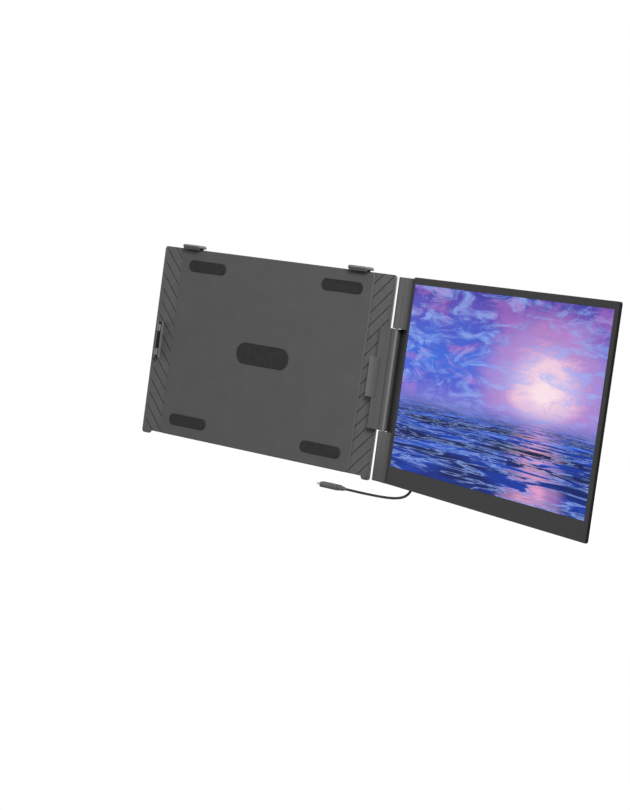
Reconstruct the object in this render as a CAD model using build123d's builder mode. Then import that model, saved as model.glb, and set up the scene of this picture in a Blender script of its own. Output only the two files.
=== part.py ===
"""Clip-on laptop screen extender: a bracket that grips a laptop's lid, with one extra screen hinged to it.

Frame: origin in the middle of the pad that the laptop's lid rests on. X runs to the right along the lid,
Y points away from the user, Z up along the lid. Sizes are in millimetres.
"""

import os
from math import cos, pi, radians, sin, sqrt, tan

from build123d import *

os.makedirs("parts", exist_ok=True)

# ---------------------------------------------------------------- driving dimensions

# laptop lid that the bracket is set to
lid_thickness = 5.0
lid_width = 356.2
lid_side_gap = 0.5
lid_above_bracket = 0.6

# bracket body
bracket_height = 237.6
body_width = 318.0
body_corner = 6.0
pad_thickness = 1.2
front_wall = 1.4
rear_cover_thickness = 3.8
slide_gap = 0.3
core_width = 112.0
core_wall = 2.2
boss_side_inset = 51.0
boss_radius = 3.2
boss_row_insets = (26.8, 84.8)
boss_clearance = 0.3
middle_pad_size = (86.0, 26.0)
corner_pad_size = (64.0, 14.0)
corner_pad_insets = (47.0, 20.8)

# sliding arms
arm_plate_thickness = 2.4
arm_stop_gap = 1.0
arm_travel = 36.0
arm_tail = 100.0
arm_drop = 3.8
arm_corner = 4.0
right_rim = 11.9
left_rim = 14.2
arm_border = 2.8
groove_width = 0.8
groove_depth = 0.3
groove_pitch = 16.9
groove_count = 14
groove_band = 46.7
groove_top_inset = 24.5
brake_size = (34.0, 9.0)
brake_insets = (71.0, 56.8)

# lid clips
clip_height = 47.0
clip_middle_z = -1.3
clip_tab_thickness = 1.6
clip_pad_thickness = 1.0
right_clip_overlap = 3.1
right_clip_width = 15.6
left_clip_overlap = 4.1
left_clip_wall = 2.0
left_clip_foot = 5.6
left_clip_finger = 8.6
left_clip_finger_spacing = 31.0

# top hooks
hook_side_inset = 21.0
hook_width = 36.0
hook_lip = 1.2
hook_lip_setback = 0.8
hook_rise = 4.0
hook_drop = 0.9
hook_pad_thickness = 0.7
hook_pad_gap = 0.1
hook_stem_width = 18.0
hook_stem_thickness = 1.6
hook_stem_length = 60.0

# kickstand
stand_width = 80.0
stand_length = 112.0
stand_thickness = 2.4
stand_rise = 136.8
stand_foot_height = 4.0
stand_barrel_radius = 1.5
stand_pin_radius = 0.8
stand_recess_depth = 3.1
stand_gap = 0.5
finger_notch_radius = 11.0

# screen hinge
hinge_x = 211.5
hinge_y = -9.75
screen_angle = 20.1
barrel_radius = 5.0
housing_top_z = 57.4
housing_bottom_z = -60.8
housing_step_y = -3.4
housing_setback = 3.5
housing_slant = 3.3
clip_proud = 0.4
sweep_start_x = 197.8
neck_angle = 140.0
neck_back_x = 194.6
housing_cover_depth = 3.1
housing_screw_inset = 8.0
housing_screw_count = 4
housing_screw_from_left = 3.4
knuckle_gap = 0.8
shaft_radius = 2.0
shaft_in_knuckle = 28.0
running_gap = 0.05
cartridge_radius = 3.4
cartridge_length = 26.0
leaf_thickness = 1.2
leaf_height = 26.0
leaf_eye_height = 10.0

# screen
screen_height = 237.8
screen_left = 25.3
screen_right = 409.0
screen_corner = 3.0
front_depth = -2.0
frame_thickness = 1.2
rim_thickness = 1.4
back_depth = 3.4
back_taper = 6.0
back_wall = 1.2
bezel_hinge_side = 4.4
bezel_right = 8.3
bezel_top = 7.8
chin = 21.0
panel_border = 2.2
glass_thickness = 0.9
panel_thickness = 2.2
seat_gap = 0.15
spine_left = 0.6
spine_right = 47.3
spine_depth = 7.0
spine_floor = 1.6
knuckle_top_inset = 1.8
knuckle_bottom_inset = 0.0
knuckle_width = 25.1
knuckle_front = -3.0

# electronics housing on the screen's back
box_left = 51.3
box_right = 191.3
box_bottom_inset = 40.5
box_height = 140.0
box_depth = 10.4
box_taper = 6.0
box_wall = 1.5
board_standoff = 0.6
board_thickness = 1.2
port_size = (9.0, 3.2)
port_length = 7.4
port_places = (69.3, 90.3)
video_port_place = 113.3
video_port_size = (11.4, 3.2)
port_gap = 0.2
button_places = (105.3, 118.3, 131.3)
button_size = (7.0, 2.2)
button_proud = 0.8
button_travel = 0.6
speaker_size = (26.0, 12.0)
speaker_thickness = 3.4
speaker_side_insets = (24.0, 30.0)
speaker_top_inset = 27.5
chips = ((53.0, 55.0, 14.0), (80.5, 46.5, 9.0), (38.0, 84.0, 8.0))

# lead
cord_radius = 1.5
plug_size = (12.0, 6.2)
plug_length = 18.0
relief_length = 9.0
plug_shell_size = (8.3, 2.5)
plug_shell_length = 6.2
plug_shell_wall = 0.35
laptop_plug_size = (12.0, 6.6)
laptop_plug_length = 25.0
laptop_collar_length = 6.0
laptop_relief_length = 6.0
cord_first_run = 9.0
cord_last_run = 7.0

# small screws
screw_radius = 1.0
screw_head_radius = 1.9
screw_head_height = 1.1
screw_gap = 0.1

# ---------------------------------------------------------------- places worked out from the sizes

front_face_y = pad_thickness
shell_back_y = front_face_y + front_wall
plate_front_y = shell_back_y + slide_gap
plate_back_y = plate_front_y + arm_plate_thickness
cover_front_y = plate_back_y + slide_gap
cover_back_y = cover_front_y + rear_cover_thickness
half_height = bracket_height / 2
half_width = body_width / 2
screen_half_height = screen_height / 2
lid_top_z = half_height + lid_above_bracket
arm_reach = lid_width / 2 + lid_side_gap
arm_reach_min = half_width + arm_stop_gap
reach_middle = arm_reach_min + arm_travel / 2
boss_x = half_width - boss_side_inset
boss_heights = [side * (half_height - inset) for side in (-1, 1) for inset in boss_row_insets]
hook_x = half_width - hook_side_inset
stand_pivot_z = stand_rise - half_height
window_left = screen_left + bezel_hinge_side
window_right = screen_right - bezel_right
window_bottom = chin - screen_half_height
window_top = screen_half_height - bezel_top
knuckle_top_z = screen_half_height - knuckle_top_inset
knuckle_bottom_z = knuckle_bottom_inset - screen_half_height
box_bottom = box_bottom_inset - screen_half_height
box_top = box_bottom + box_height
clip_inner_y = -lid_thickness - clip_pad_thickness
clip_front_y = clip_inner_y - clip_tab_thickness
housing_front_y = clip_front_y + clip_proud
board_front = back_depth + board_standoff
board_back = board_front + board_thickness
port_depth = board_back + port_size[1] / 2
frame_back = front_depth + frame_thickness
rim_back = frame_back + rim_thickness
panel_back = frame_back + panel_thickness
pocket_floor = back_depth - back_wall
spine_front = spine_depth - spine_floor
screw_bore = screw_radius + screw_gap
head_bore = screw_head_radius + screw_gap
head_depth = screw_head_height + screw_gap
turn = radians(screen_angle)
along_screen = (cos(turn), -sin(turn), 0)
to_user = (-sin(turn), -cos(turn), 0)


def facing(y):
    """Plane across the bracket at depth y, facing the user: its own axes are X and Z."""
    return Plane(origin=(0, y, 0), x_dir=(1, 0, 0), z_dir=(0, -1, 0))


def from_behind(x, y, z):
    """Plane at one point of the bracket, facing away from the user."""
    return Plane(origin=(x, y, z), x_dir=(-1, 0, 0), z_dir=(0, 1, 0))


def on_screen(u, depth, z):
    """Point at u from the hinge axis along the screen, at a depth behind the axis and at height z."""
    return Vector(
        hinge_x + u * cos(turn) + depth * sin(turn),
        hinge_y - u * sin(turn) + depth * cos(turn),
        z,
    )


def screen_facing(depth):
    """Plane parallel to the display at a depth behind the hinge axis, facing the user."""
    return Plane(origin=on_screen(0, depth, 0), x_dir=along_screen, z_dir=to_user)


def screen_section(z):
    """Level plane of the screen: x along the screen, y away from the user."""
    return Plane(origin=(hinge_x, hinge_y, z), x_dir=along_screen, z_dir=(0, 0, 1))


def screen_from_behind(u, depth, z):
    """Plane at one point of the screen's back, facing away from the user."""
    return Plane(origin=on_screen(u, depth, z), x_dir=[-c for c in along_screen], z_dir=[-c for c in to_user])


def finish(piece, name):
    """Label a finished piece and write it to its own file."""
    piece.label = name
    export_step(piece, f"parts/{name}.step")


def screw(radius=screw_radius, length=4.0):
    """Pan-head screw standing on the XY plane, its head above and its shank below."""
    with BuildPart(mode=Mode.PRIVATE) as fastener:
        Cylinder(screw_head_radius, screw_head_height, align=(Align.CENTER, Align.CENTER, Align.MIN))
        Cylinder(radius, length, align=(Align.CENTER, Align.CENTER, Align.MAX))
    return fastener.part


# ---------------------------------------------------------------- bracket body

spacer = cover_front_y - shell_back_y
boss_places = [(side * boss_x, z) for side in (-1, 1) for z in boss_heights]
boss_bore_depth = 2.4

with BuildPart() as bracket_front_shell:
    with BuildSketch(facing(shell_back_y)):
        RectangleRounded(body_width, bracket_height, body_corner)
    extrude(amount=front_wall)
    outer_rim = bracket_front_shell.faces().sort_by(Axis.Y)[0].edges()
    chamfer(outer_rim, 0.6)
    with BuildSketch(facing(cover_front_y)):
        Rectangle(core_width, bracket_height)
        Rectangle(core_width - 2 * core_wall, bracket_height - 2 * core_wall, mode=Mode.SUBTRACT)
        with GridLocations(1, bracket_height / 4, 1, 3):
            Rectangle(core_width, core_wall)
        with Locations(*boss_places):
            Circle(boss_radius)
    extrude(amount=spacer)
    with BuildSketch(facing(cover_front_y)):
        with Locations(*boss_places):
            Circle(screw_radius + running_gap)
    extrude(amount=boss_bore_depth, mode=Mode.SUBTRACT)
finish(bracket_front_shell.part, "bracket_front_shell")

# rubber pads on the front: the middle one holds the frame's origin
corner_pad_x = half_width - corner_pad_insets[0]
corner_pad_z = half_height - corner_pad_insets[1]
corner_pad_places = [(x, z) for x in (-corner_pad_x, corner_pad_x) for z in (-corner_pad_z, corner_pad_z)]

with BuildPart() as lid_pads:
    with BuildSketch(facing(front_face_y)):
        SlotOverall(*middle_pad_size)
        with Locations(*corner_pad_places):
            SlotOverall(*corner_pad_size)
    extrude(amount=pad_thickness)
    pad_rims = lid_pads.faces().filter_by(Axis.Y).group_by(Axis.Y)[0].edges()
    chamfer(pad_rims, 0.3)
finish(lid_pads.part, "lid_pads")

# rear cover: grooves for the hook stems, pockets for the brake springs, recess for the kickstand
stem_groove_depth = hook_stem_thickness + 2 * running_gap + 0.2
stem_groove_width = hook_stem_width + 0.6
hook_under_z = lid_top_z + hook_pad_gap + hook_pad_thickness
stem_bottom_z = hook_under_z - hook_stem_length
brake_pocket_depth = 1.5
brake_x = half_width - brake_insets[0]
brake_z = half_height - brake_insets[1]
brake_places = [(x, z) for x in (-brake_x, brake_x) for z in (-brake_z, brake_z)]
recess_top_z = stand_pivot_z + stand_barrel_radius + stand_gap
recess_bottom_z = stand_pivot_z - stand_length - stand_gap
recess_height = recess_top_z - recess_bottom_z
recess_middle_z = (recess_top_z + recess_bottom_z) / 2
recess_width = stand_width + 2 * stand_gap
stand_pivot_y = cover_back_y - stand_barrel_radius - 0.1
pin_grip = 5.0

with BuildPart() as bracket_rear_cover:
    with BuildSketch(facing(cover_back_y)):
        RectangleRounded(body_width, bracket_height, body_corner)
    extrude(amount=rear_cover_thickness)
    chamfer(bracket_rear_cover.faces().sort_by(Axis.Y)[-1].edges(), 1.4)
    with BuildSketch(facing(cover_front_y + stem_groove_depth)):
        for side in (-1, 1):
            with Locations((side * hook_x, (stem_bottom_z - 1 + half_height) / 2)):
                Rectangle(stem_groove_width, half_height - stem_bottom_z + 1)
    extrude(amount=stem_groove_depth, mode=Mode.SUBTRACT)
    with BuildSketch(facing(cover_front_y + brake_pocket_depth)):
        with Locations(*brake_places):
            Rectangle(*brake_size)
    extrude(amount=brake_pocket_depth, mode=Mode.SUBTRACT)
    with BuildSketch(facing(cover_back_y)):
        with Locations((0, recess_middle_z)):
            Rectangle(recess_width, recess_height)
        with Locations((0, recess_bottom_z)):
            Circle(finger_notch_radius)
    extrude(amount=stand_recess_depth, mode=Mode.SUBTRACT)
    with Locations(Plane(origin=(0, stand_pivot_y, stand_pivot_z), z_dir=(1, 0, 0))):
        Cylinder(stand_pin_radius, recess_width + 2 * pin_grip, mode=Mode.SUBTRACT)
    with Locations(*[from_behind(x, cover_back_y, z) for x, z in boss_places]):
        CounterBoreHole(screw_bore, head_bore, head_depth, depth=6)
finish(bracket_rear_cover.part, "bracket_rear_cover")

# eight identical screws hold the cover to the shell's bosses
bracket_screw_head_y = cover_back_y - screw_head_height - screw_gap
bracket_screw_length = bracket_screw_head_y - (cover_front_y - boss_bore_depth) - screw_gap

with BuildPart() as bracket_screws:
    with Locations(*[from_behind(x, bracket_screw_head_y, z) for x, z in boss_places]):
        add(screw(length=bracket_screw_length))
finish(bracket_screws.part, "bracket_screws")

# bowed steel springs press on the arm plates, so that the arms stay where they are pulled to
brake_strip = 0.3
brake_bow = brake_pocket_depth + slide_gap - brake_strip - 0.2

with BuildPart() as brake_springs:
    for x, z in brake_places:
        brake_half = brake_size[0] / 2 - 1
        brake_y = cover_front_y + brake_pocket_depth - 0.05
        with BuildSketch(Plane.XY.offset(z - brake_size[1] / 2 + 1)):
            with BuildLine():
                bow_top = (x, brake_y - brake_bow)
                outer_bow = ThreePointArc((x - brake_half, brake_y), bow_top, (x + brake_half, brake_y))
                offset(outer_bow, amount=brake_strip, side=Side.RIGHT)
            make_face()
        extrude(amount=brake_size[1] - 2)
finish(brake_springs.part, "brake_springs")

# ---------------------------------------------------------------- kickstand

stand_plate_top_z = stand_pivot_z - stand_barrel_radius * 0.5
stand_bottom_z = stand_pivot_z - stand_length
stand_front_y = cover_back_y - 0.3 - stand_thickness
stand_plate_bottom_z = stand_bottom_z + stand_foot_height

with BuildPart() as kickstand:
    with BuildSketch(facing(stand_front_y + stand_thickness)):
        with Locations((0, (stand_plate_top_z + stand_plate_bottom_z) / 2)):
            Rectangle(stand_width, stand_plate_top_z - stand_plate_bottom_z)
        with Locations((0, stand_plate_bottom_z + 22)):
            SlotOverall(stand_width - 30, 9, mode=Mode.SUBTRACT)
    extrude(amount=stand_thickness)
    with Locations(Plane(origin=(0, stand_pivot_y, stand_pivot_z), z_dir=(1, 0, 0))):
        Cylinder(stand_barrel_radius, stand_width)
        Cylinder(stand_pin_radius + running_gap, stand_width, mode=Mode.SUBTRACT)
finish(kickstand.part, "kickstand")

with BuildPart() as kickstand_foot:
    with BuildSketch(facing(stand_front_y + stand_thickness)):
        with Locations((0, stand_bottom_z + stand_foot_height / 2)):
            Rectangle(stand_width, stand_foot_height)
    extrude(amount=stand_thickness)
    fillet(kickstand_foot.edges().filter_by(Axis.Y).group_by(Axis.Z)[0], 1.5)
finish(kickstand_foot.part, "kickstand_foot")

with BuildPart() as kickstand_pin:
    with Locations(Plane(origin=(0, stand_pivot_y, stand_pivot_z), z_dir=(1, 0, 0))):
        Cylinder(stand_pin_radius, recess_width + 2 * pin_grip - 0.2)
finish(kickstand_pin.part, "kickstand_pin")

# ---------------------------------------------------------------- arms

slot_height = 2 * (boss_radius + boss_clearance)
slot_length = arm_travel + slot_height
groove_heights = [half_height - groove_top_inset - step * groove_pitch for step in range(groove_count)]


def make_arm_plate(side, rim):
    """Plate with slots for the shell's bosses, slanting grooves in front and a longer strip outside."""
    inner = arm_reach - arm_tail
    outer = arm_reach + rim
    strip_left = arm_reach - arm_stop_gap
    slot_x = arm_reach - (reach_middle - boss_x)
    groove_x = outer - arm_border - groove_band / 2
    with BuildPart() as arm_plate:
        with BuildSketch(facing(plate_back_y)):
            with Locations((side * (inner + outer) / 2, 0)):
                RectangleRounded(outer - inner, bracket_height, arm_corner)
            with Locations((side * (strip_left + outer) / 2, -arm_drop / 2)):
                RectangleRounded(outer - strip_left, bracket_height + arm_drop, arm_corner)
            with Locations(*[(side * slot_x, z) for z in boss_heights]):
                SlotOverall(slot_length, slot_height, mode=Mode.SUBTRACT)
        extrude(amount=arm_plate_thickness)
        with BuildSketch(facing(plate_front_y)):
            with Locations(*[(side * groove_x, z) for z in groove_heights]):
                Rectangle(groove_band * sqrt(2), groove_width, rotation=side * 45)
        extrude(amount=-groove_depth, mode=Mode.SUBTRACT)
    return arm_plate.part


right_arm_plate = make_arm_plate(1, right_rim)

# left clip: a wall at the lid's edge with two fingers over the bezel, on a rubber liner
left_wall_x = -arm_reach
left_clip_outer_x = left_wall_x - left_clip_wall
left_foot_x = left_wall_x - left_clip_foot
left_tab_x = left_wall_x + left_clip_overlap
left_screw_places = [((left_wall_x + left_foot_x) / 2, clip_middle_z + z) for z in (-17.0, 17.0)]
left_foot_thickness = 2.6
left_screw_bore = 2.2

with BuildPart() as bored_left_plate:
    add(make_arm_plate(-1, left_rim))
    with Locations(*[from_behind(x, plate_back_y, z) for x, z in left_screw_places]):
        CounterBoreHole(screw_bore, head_bore, head_depth, depth=6)
finish(bored_left_plate.part, "left_arm_plate")

with BuildPart() as left_clip:
    with BuildSketch(facing(plate_front_y)):
        with Locations(((left_wall_x + left_foot_x) / 2, clip_middle_z)):
            Rectangle(left_clip_foot, clip_height)
    extrude(amount=left_foot_thickness)
    with BuildSketch(facing(plate_front_y)):
        with Locations(((left_wall_x + left_clip_outer_x) / 2, clip_middle_z)):
            Rectangle(left_clip_wall, clip_height)
    extrude(amount=plate_front_y - clip_inner_y)
    with BuildSketch(facing(clip_inner_y)):
        with Locations(((left_clip_outer_x + left_tab_x) / 2, clip_middle_z)):
            with GridLocations(1, left_clip_finger_spacing, 1, 2):
                Rectangle(left_tab_x - left_clip_outer_x, left_clip_finger)
    extrude(amount=clip_tab_thickness)
    finger_fronts = left_clip.faces().group_by(Axis.Y)[0].edges().filter_by(Axis.Z)
    fillet(finger_fronts, 0.7)
    with Locations(*[from_behind(x, plate_front_y, z) for x, z in left_screw_places]):
        Hole(screw_radius + running_gap, depth=left_screw_bore)
finish(left_clip.part, "left_clip")

with BuildPart() as left_clip_pad:
    with BuildSketch(facing(clip_inner_y + clip_pad_thickness)):
        with Locations(((left_wall_x + left_tab_x) / 2, clip_middle_z)):
            Rectangle(left_tab_x - left_wall_x, clip_height)
    extrude(amount=clip_pad_thickness)
    with BuildSketch(facing(clip_inner_y)):
        with Locations(((left_wall_x + left_tab_x) / 2, clip_middle_z)):
            Rectangle(left_tab_x - left_wall_x, left_clip_finger_spacing - left_clip_finger)
    extrude(amount=clip_tab_thickness / 2)
finish(left_clip_pad.part, "left_clip_pad")

left_screw_head_y = plate_back_y - screw_head_height - screw_gap

with BuildPart() as left_arm_screws:
    with Locations(*[from_behind(x, left_screw_head_y, z) for x, z in left_screw_places]):
        add(screw(length=left_screw_head_y - plate_front_y + left_screw_bore - 0.4))
finish(left_arm_screws.part, "left_arm_screws")

# hinge housing on the right arm: the front sweeps into the middle barrel and has a pocket for the clip
right_wall_x = arm_reach
right_edge_x = arm_reach + right_rim
housing_left_x = right_wall_x + housing_setback
housing_face_x = housing_left_x + housing_slant
right_tab_x = right_wall_x - right_clip_overlap
right_clip_outer_x = right_tab_x + right_clip_width
clip_pocket_x = right_clip_outer_x + running_gap
hinge_centre = (hinge_x, hinge_y)
sweep_end_angle = 228.0
housing_height = housing_top_z - housing_bottom_z
cartridge_bore = cartridge_length + 0.2


def on_barrel(angle):
    """Point of the barrel's circle at an angle from +X, in the level plane."""
    return (hinge_x + barrel_radius * cos(radians(angle)), hinge_y + barrel_radius * sin(radians(angle)))


with BuildPart() as hinge_housing:
    with BuildSketch(Plane.XY.offset(housing_bottom_z)):
        with BuildLine():
            Polyline(
                (right_edge_x, plate_front_y),
                (housing_left_x, plate_front_y),
                (housing_left_x, housing_step_y),
                (housing_face_x, housing_front_y),
                (sweep_start_x, housing_front_y),
            )
            Spline(
                (sweep_start_x, housing_front_y),
                on_barrel(sweep_end_angle),
                tangents=[(1, 0), (-sin(radians(sweep_end_angle)), cos(radians(sweep_end_angle)))],
            )
            Polyline(
                on_barrel(sweep_end_angle),
                hinge_centre,
                on_barrel(neck_angle),
                (neck_back_x, plate_back_y),
                (right_edge_x, plate_back_y),
                (right_edge_x, plate_front_y),
            )
        make_face()
        with Locations(hinge_centre):
            Circle(barrel_radius)
    extrude(amount=housing_height)
    fillet(hinge_housing.edges().filter_by(Axis.Z).sort_by_distance((housing_face_x, housing_front_y, 0))[0], 0.8)
    with BuildSketch(facing(housing_step_y)):
        with Locations(((housing_left_x + clip_pocket_x) / 2, clip_middle_z)):
            Rectangle(clip_pocket_x - housing_left_x, clip_height + 2 * running_gap)
    extrude(amount=housing_step_y - housing_front_y, mode=Mode.SUBTRACT)
    with Locations(
        Plane(origin=(hinge_x, hinge_y, housing_top_z), z_dir=(0, 0, 1)),
        Plane(origin=(hinge_x, hinge_y, housing_bottom_z), z_dir=(0, 0, -1)),
    ):
        Hole(cartridge_radius + running_gap, depth=cartridge_bore)
    lowest_screw_z = housing_bottom_z + housing_screw_inset
    screw_pitch = (housing_height - 2 * housing_screw_inset) / (housing_screw_count - 1)
    screw_heights = [lowest_screw_z + step * screw_pitch for step in range(housing_screw_count)]
    housing_screw_places = [(housing_left_x + housing_screw_from_left, z) for z in screw_heights]
    with Locations(*[from_behind(x, plate_front_y, z) for x, z in housing_screw_places]):
        Hole(screw_radius + running_gap, depth=4.0)

housing_screw_bores = [from_behind(x, plate_back_y, z) for x, z in housing_screw_places]
finish(hinge_housing.part, "hinge_housing")

with BuildPart() as bored_right_plate:
    add(right_arm_plate)
    with Locations(*housing_screw_bores):
        Hole(screw_radius + screw_gap, depth=arm_plate_thickness)
finish(bored_right_plate.part, "right_arm_plate")

# rear cap of the housing, clear of the bracket's rear cover when the arm is pushed in
cap_left_x = arm_reach - arm_stop_gap + 0.4
cap_back_y = plate_back_y + housing_cover_depth

with BuildPart() as hinge_cover:
    with BuildSketch(Plane.XY.offset(housing_bottom_z + 4)):
        with BuildLine():
            Polyline(
                (cap_left_x, plate_back_y),
                (neck_back_x, plate_back_y),
                (neck_back_x - 2.4, cap_back_y),
                (cap_left_x + 1.2, cap_back_y),
                close=True,
            )
        make_face()
    extrude(amount=housing_height - 8)
    with Locations(*[from_behind(x, cap_back_y, z) for x, z in housing_screw_places]):
        CounterBoreHole(screw_bore, head_bore, head_depth, depth=6)
finish(hinge_cover.part, "hinge_cover")

housing_screw_head_y = cap_back_y - screw_head_height - screw_gap
housing_screw_length = housing_screw_head_y - plate_front_y + 3.6

with BuildPart() as right_arm_screws:
    with Locations(*[from_behind(x, housing_screw_head_y, z) for x, z in housing_screw_places]):
        add(screw(length=housing_screw_length))
finish(right_arm_screws.part, "right_arm_screws")

with BuildPart() as friction_cartridges:
    for end_z, direction in ((housing_top_z, -1), (housing_bottom_z, 1)):
        with Locations((hinge_x, hinge_y, end_z + direction * (cartridge_length / 2 + 0.1))):
            Cylinder(cartridge_radius, cartridge_length)
            Cylinder(shaft_radius + running_gap, cartridge_length, mode=Mode.SUBTRACT)
finish(friction_cartridges.part, "friction_cartridges")

# right clip: a plate over the lid's bezel, on a wall that stands in the housing's pocket
with BuildPart() as right_clip:
    with BuildSketch(Plane.XY.offset(clip_middle_z - clip_height / 2)):
        with BuildLine():
            Polyline(
                (right_tab_x, clip_inner_y),
                (right_wall_x, clip_inner_y),
                (right_wall_x, plate_front_y),
                (housing_left_x, plate_front_y),
                (housing_left_x, housing_step_y),
                (right_clip_outer_x, housing_step_y),
                (right_clip_outer_x, clip_front_y),
                (right_tab_x, clip_front_y),
                close=True,
            )
        make_face()
    extrude(amount=clip_height)
    fillet(right_clip.edges().filter_by(Axis.Z).sort_by_distance((right_tab_x, clip_front_y, 0))[0], 0.7)
finish(right_clip.part, "right_clip")

with BuildPart() as right_clip_pad:
    with BuildSketch(facing(clip_inner_y + clip_pad_thickness)):
        with Locations(((right_tab_x + right_wall_x) / 2, clip_middle_z)):
            Rectangle(right_wall_x - right_tab_x, clip_height - 2)
    extrude(amount=clip_pad_thickness)
finish(right_clip_pad.part, "right_clip_pad")

# ---------------------------------------------------------------- top hooks

hook_front_y = clip_front_y
hook_lip_z = lid_top_z - hook_drop
stem_front_y = cover_front_y + running_gap + 0.05
stem_back_y = stem_front_y + hook_stem_thickness
hook_depth = stem_back_y - hook_front_y
hook_middle_y = (stem_back_y + hook_front_y) / 2
lip_front_y = hook_front_y + hook_lip_setback
lip_back_y = lip_front_y + hook_lip

for side, side_name in ((-1, "left"), (1, "right")):
    hook_centre = (side * hook_x, hook_middle_y)
    with BuildPart() as top_hook:
        with BuildSketch(Plane.XY.offset(hook_under_z)):
            with Locations(hook_centre):
                SlotOverall(hook_width, hook_depth)
        extrude(amount=hook_rise)
        fillet(top_hook.faces().sort_by(Axis.Z)[-1].edges(), 2.3)
        fillet(top_hook.faces().sort_by(Axis.Z)[0].edges(), 1.1)
        with BuildSketch(Plane.XY.offset(hook_under_z + 1.2)):
            with Locations(hook_centre):
                SlotOverall(hook_width - 2 * hook_lip_setback, hook_depth - 2 * hook_lip_setback)
            with Locations((side * hook_x, lip_back_y + hook_depth / 2)):
                Rectangle(hook_width, hook_depth, mode=Mode.SUBTRACT)
        extrude(amount=hook_lip_z - hook_under_z - 1.2)
        with BuildSketch(facing(stem_back_y)):
            with Locations((side * hook_x, (stem_bottom_z + hook_under_z) / 2 + 0.6)):
                Rectangle(hook_stem_width, hook_under_z - stem_bottom_z + 1.2)
        extrude(amount=hook_stem_thickness)
    finish(top_hook.part, f"{side_name}_hook")

    with BuildPart() as hook_pad:
        with BuildSketch(Plane.XY.offset(hook_under_z)):
            pad_y = (lip_back_y + 0.2, stem_front_y - 0.4)
            with Locations((side * hook_x, sum(pad_y) / 2)):
                RectangleRounded(hook_stem_width, pad_y[1] - pad_y[0], 1.0)
        extrude(amount=-hook_pad_thickness)
    finish(hook_pad.part, f"{side_name}_hook_pad")

# ---------------------------------------------------------------- screen hinge, screen side

knuckle_spans = {
    "upper": (housing_top_z + knuckle_gap, knuckle_top_z, 1),
    "lower": (housing_bottom_z - knuckle_gap, knuckle_bottom_z, -1),
}
knuckle_flat_start = 9.5
knuckle_edge = 0.9
leave_angle = radians(-62.0)
leaf_front = 2.2
leaf_right = 21.0
leaf_gap = 0.1

for place, (near_z, far_z, direction) in knuckle_spans.items():
    low_z = min(near_z, far_z)
    eye_middle_z = near_z + direction * (leaf_height / 2 + 3)
    with BuildPart() as knuckle:
        with BuildSketch(screen_section(low_z)):
            with BuildLine():
                leave_point = (barrel_radius * cos(leave_angle), barrel_radius * sin(leave_angle))
                Spline(
                    leave_point,
                    (knuckle_flat_start, knuckle_front),
                    tangents=[(-sin(leave_angle), cos(leave_angle)), (1, 0)],
                )
                Polyline(
                    (knuckle_flat_start, knuckle_front),
                    (knuckle_width - knuckle_edge, knuckle_front),
                    (knuckle_width, knuckle_front + knuckle_edge),
                    (knuckle_width, spine_front),
                    (spine_left + 0.6, spine_front),
                    (0, barrel_radius - 0.4),
                    leave_point,
                )
            make_face()
            Circle(barrel_radius)
        extrude(amount=abs(far_z - near_z))
        with Locations(Plane(origin=(hinge_x, hinge_y, near_z), z_dir=(0, 0, -direction))):
            Hole(shaft_radius + running_gap, depth=shaft_in_knuckle + 0.2)
        with BuildSketch(screen_section(eye_middle_z)):
            Circle(leaf_front + leaf_thickness + leaf_gap)
        extrude(amount=leaf_eye_height / 2 + leaf_gap, both=True, mode=Mode.SUBTRACT)
        with BuildSketch(screen_section(eye_middle_z)):
            with Locations((leaf_right / 2, leaf_front + leaf_thickness / 2)):
                Rectangle(leaf_right + 2 * leaf_gap, leaf_thickness + 2 * leaf_gap)
        extrude(amount=leaf_height / 2 + leaf_gap, both=True, mode=Mode.SUBTRACT)
    finish(knuckle.part, f"{place}_knuckle")

# steel leaves: an eye round the shaft and a flat tongue inside the knuckle
with BuildPart() as hinge_leaves:
    for near_z, far_z, direction in knuckle_spans.values():
        eye_middle_z = near_z + direction * (leaf_height / 2 + 3)
        with BuildSketch(screen_section(eye_middle_z)):
            Circle(leaf_front + leaf_thickness)
        extrude(amount=leaf_eye_height / 2, both=True)
        with BuildSketch(screen_section(eye_middle_z)):
            with Locations((leaf_right / 2, leaf_front + leaf_thickness / 2)):
                Rectangle(leaf_right, leaf_thickness)
        extrude(amount=leaf_height / 2, both=True)
        with Locations((hinge_x, hinge_y, eye_middle_z)):
            Cylinder(shaft_radius + running_gap, leaf_eye_height, mode=Mode.SUBTRACT)
finish(hinge_leaves.part, "hinge_leaves")

# steel shafts: held in the knuckles, turning in the friction cartridges
with BuildPart() as hinge_shafts:
    for near_z, far_z, direction in knuckle_spans.values():
        knuckle_end = near_z + direction * shaft_in_knuckle
        inner_end = near_z - direction * (knuckle_gap + cartridge_length - 0.4)
        with Locations((hinge_x, hinge_y, (knuckle_end + inner_end) / 2)):
            Cylinder(shaft_radius, abs(knuckle_end - inner_end))
finish(hinge_shafts.part, "hinge_shafts")

# ---------------------------------------------------------------- screen

window_width = window_right - window_left
window_height = window_top - window_bottom
window_middle = ((window_left + window_right) / 2, (window_top + window_bottom) / 2)
pocket_size = (window_width + 2 * panel_border + 2 * seat_gap, window_height + 2 * panel_border + 2 * seat_gap)
spine_middle_u = (spine_left + spine_right) / 2
spine_height = knuckle_top_z - knuckle_bottom_z
spine_middle_z = (knuckle_top_z + knuckle_bottom_z) / 2


def screen_outline(inset):
    """Slab's outline, square at the lower knuckle: the hinge side stays, the other sides move in by the inset."""
    width = screen_right - inset - screen_left
    with Locations((screen_left + width / 2, 0)):
        RectangleRounded(width, screen_height - 2 * inset, screen_corner)
    with Locations((screen_left + screen_corner, inset + screen_corner - screen_half_height)):
        Rectangle(2 * screen_corner, 2 * screen_corner)


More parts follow.
